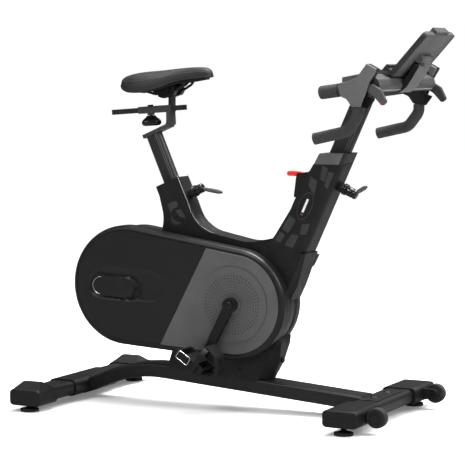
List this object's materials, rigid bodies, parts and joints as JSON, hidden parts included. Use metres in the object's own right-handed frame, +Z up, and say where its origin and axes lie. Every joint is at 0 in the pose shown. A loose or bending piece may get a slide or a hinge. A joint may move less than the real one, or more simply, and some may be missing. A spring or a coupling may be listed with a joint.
{
  "type": "exercise bike",
  "caption": "Indoor exercise bike with belt-driven flywheel in an oval casing, adjustable saddle and drop handlebar posts, tablet holder and levelling feet",
  "frame": {"origin": "centre of the bounding box on the floor plane under the feet", "axes": "+X towards the front wheels and handlebar, +Y to the rider's left, +Z up"},
  "size_m": [1.108, 0.636, 1.0211],
  "materials": {
    "frame_paint": "satin black powder coat",
    "cover_plastic": "fine textured black moulded plastic",
    "panel_grey": "dark grey moulded panel",
    "badge": "glossy black",
    "rubber": "matte black rubber",
    "steel": "bare steel",
    "cast": "machined iron",
    "crank_metal": "gloss black",
    "red_plastic": "red moulded plastic",
    "knob_plastic": "glossy black plastic",
    "foam": "black synthetic leather",
    "grey_plastic": "charcoal plastic",
    "post_metal": "satin black"
  },
  "bodies": {
    "frame": {"main_beam": "frame_paint", "rear_stabiliser": "frame_paint", "front_stabiliser": "frame_paint", "stabiliser_brackets": "frame_paint", "rear_end_caps": "cover_plastic", "front_end_caps": "cover_plastic", "base_bolts": "steel", "frame_tubes": "frame_paint", "bearings": "steel", "post_bushes": "cover_plastic", "body_cover_left": "cover_plastic", "body_cover_right": "cover_plastic", "mast_top_cap": "grey_plastic", "casing_left": "cover_plastic", "casing_right": "cover_plastic", "side_panels": "panel_grey", "badge_plates": "badge", "cover_screws": "steel", "power_inlet": "knob_plastic", "drive_belt": "rubber"},
    "wheel_left": {"wheel_left": "rubber"},
    "wheel_right": {"wheel_right": "rubber"},
    "foot_rear_left": {"foot_rear_left": "rubber"},
    "foot_rear_right": {"foot_rear_right": "rubber"},
    "foot_front_left": {"foot_front_left": "rubber"},
    "foot_front_right": {"foot_front_right": "rubber"},
    "crankset": {"crank_axle": "steel", "crank_right": "crank_metal", "crank_left": "crank_metal", "crank_discs": "grey_plastic", "drive_pulley": "knob_plastic", "pedal_spindles": "steel"},
    "pedal_right": {"pedal_right": "knob_plastic", "toe_cage_right": "knob_plastic"},
    "pedal_left": {"pedal_left": "knob_plastic", "toe_cage_left": "knob_plastic"},
    "flywheel": {"flywheel": "cast", "flywheel_axle": "steel"},
    "magnet_brake": {"magnet_brake": "steel"},
    "brake_lever": {"brake_lever": "red_plastic"},
    "seat_post": {"seat_post": "post_metal", "seat_head": "post_metal"},
    "seat_pin": {"seat_pin_knob": "knob_plastic"},
    "slider_knob": {"slider_knob": "knob_plastic"},
    "slider": {"slider_bar": "post_metal"},
    "saddle": {"saddle_clamp": "post_metal", "saddle_rails": "post_metal", "saddle_shell": "knob_plastic", "saddle_pad": "foam"},
    "bars": {"bar_post": "post_metal", "bar_stem": "grey_plastic", "handlebar": "grey_plastic", "bar_cover": "grey_plastic", "grips": "rubber", "hoods": "grey_plastic"},
    "mast_pin": {"mast_pin_knob": "knob_plastic"},
    "lever_right": {"lever_right": "grey_plastic"},
    "lever_left": {"lever_left": "grey_plastic"},
    "tablet_holder": {"tablet_holder": "grey_plastic"},
    "tablet_clip": {"tablet_clip": "grey_plastic"}
  },
  "joints": [
    {"name": "wheel_left_spin", "type": "hinge", "parent": "frame", "child": "wheel_left", "pos_m": [0.46397, 0.211, 0.044], "axis": [0, 1, 0], "continuous": true},
    {"name": "foot_rear_left_screw", "type": "slide", "parent": "frame", "child": "foot_rear_left", "axis": [0, 0, -1], "range_m": [0, 0.012]},
    {"name": "foot_front_left_screw", "type": "slide", "parent": "frame", "child": "foot_front_left", "axis": [0, 0, -1], "range_m": [0, 0.012]},
    {"name": "wheel_right_spin", "type": "hinge", "parent": "frame", "child": "wheel_right", "pos_m": [0.46397, -0.211, 0.044], "axis": [0, 1, 0], "continuous": true},
    {"name": "foot_rear_right_screw", "type": "slide", "parent": "frame", "child": "foot_rear_right", "axis": [0, 0, -1], "range_m": [0, 0.012]},
    {"name": "foot_front_right_screw", "type": "slide", "parent": "frame", "child": "foot_front_right", "axis": [0, 0, -1], "range_m": [0, 0.012]},
    {"name": "crank_spin", "type": "hinge", "parent": "frame", "child": "crankset", "pos_m": [-0.00203, 0, 0.292], "axis": [0, 1, 0], "continuous": true},
    {"name": "flywheel_spin", "type": "hinge", "parent": "frame", "child": "flywheel", "pos_m": [-0.32803, 0, 0.327], "axis": [0, 1, 0], "continuous": true},
    {"name": "pedal_right_spin", "type": "hinge", "parent": "crankset", "child": "pedal_right", "pos_m": [-0.07873, -0.156, 0.14591], "axis": [0, 1, 0], "continuous": true},
    {"name": "pedal_left_spin", "type": "hinge", "parent": "crankset", "child": "pedal_left", "pos_m": [0.07467, 0.156, 0.43809], "axis": [0, 1, 0], "continuous": true},
    {"name": "brake_lever_swing", "type": "hinge", "parent": "frame", "child": "brake_lever", "pos_m": [0.17697, 0, 0.633], "axis": [0, 1, 0], "range_deg": [0, 15]},
    {"name": "magnet_swing", "type": "hinge", "parent": "frame", "child": "magnet_brake", "pos_m": [-0.18503, 0, 0.336], "axis": [0, -1, 0], "range_deg": [0, 3]},
    {"name": "seat_height", "type": "slide", "parent": "frame", "child": "seat_post", "axis": [-0.3971, 0, 0.9178], "range_m": [-0.1, 0.13]},
    {"name": "seat_pin_pull", "type": "slide", "parent": "frame", "child": "seat_pin", "axis": [0.9178, 0, 0.3971], "range_m": [0, 0.01], "stiffness_N_per_m": 600, "springref_m": -0.004},
    {"name": "slider_knob_turn", "type": "hinge", "parent": "seat_post", "child": "slider_knob", "pos_m": [-0.29186, 0, 0.80326], "axis": [-0.0732, 0, 0.9973], "continuous": true},
    {"name": "saddle_slide", "type": "slide", "parent": "seat_post", "child": "slider", "axis": [0.9973, 0, 0.0732], "range_m": [-0.04, 0.06]},
    {"name": "saddle_tilt", "type": "hinge", "parent": "slider", "child": "saddle", "pos_m": [-0.22603, 0, 0.862], "axis": [0, 1, 0], "range_deg": [-12, 12]},
    {"name": "bar_height", "type": "slide", "parent": "frame", "child": "bars", "axis": [0.4131, 0, 0.9107], "range_m": [-0.12, 0.1]},
    {"name": "mast_pin_pull", "type": "slide", "parent": "frame", "child": "mast_pin", "axis": [0.9107, 0, -0.4131], "range_m": [0, 0.01], "stiffness_N_per_m": 600, "springref_m": -0.004},
    {"name": "lever_right_squeeze", "type": "hinge", "parent": "bars", "child": "lever_right", "pos_m": [0.43297, -0.213, 0.868], "axis": [0, 1, 0], "range_deg": [0, 10], "stiffness_Nm_per_rad": 0.3, "springref_deg": -17.19},
    {"name": "lever_left_squeeze", "type": "hinge", "parent": "bars", "child": "lever_left", "pos_m": [0.43297, 0.213, 0.868], "axis": [0, 1, 0], "range_deg": [0, 10], "stiffness_Nm_per_rad": 0.3, "springref_deg": -17.19},
    {"name": "tablet_tilt", "type": "hinge", "parent": "bars", "child": "tablet_holder", "pos_m": [0.50397, 0, 0.941], "axis": [0, 1, 0], "range_deg": [0, 30]},
    {"name": "tablet_clip_pull", "type": "slide", "parent": "tablet_holder", "child": "tablet_clip", "axis": [0.6691, 0, 0.7431], "range_m": [0, 0.035], "stiffness_N_per_m": 80, "springref_m": -0.02}
  ],
  "couplings": [
    {"joint": "flywheel_spin", "follows": "crank_spin", "ratio": 4.3182},
    {"joint": "magnet_swing", "follows": "brake_lever_swing", "ratio": 0.2}
  ]
}
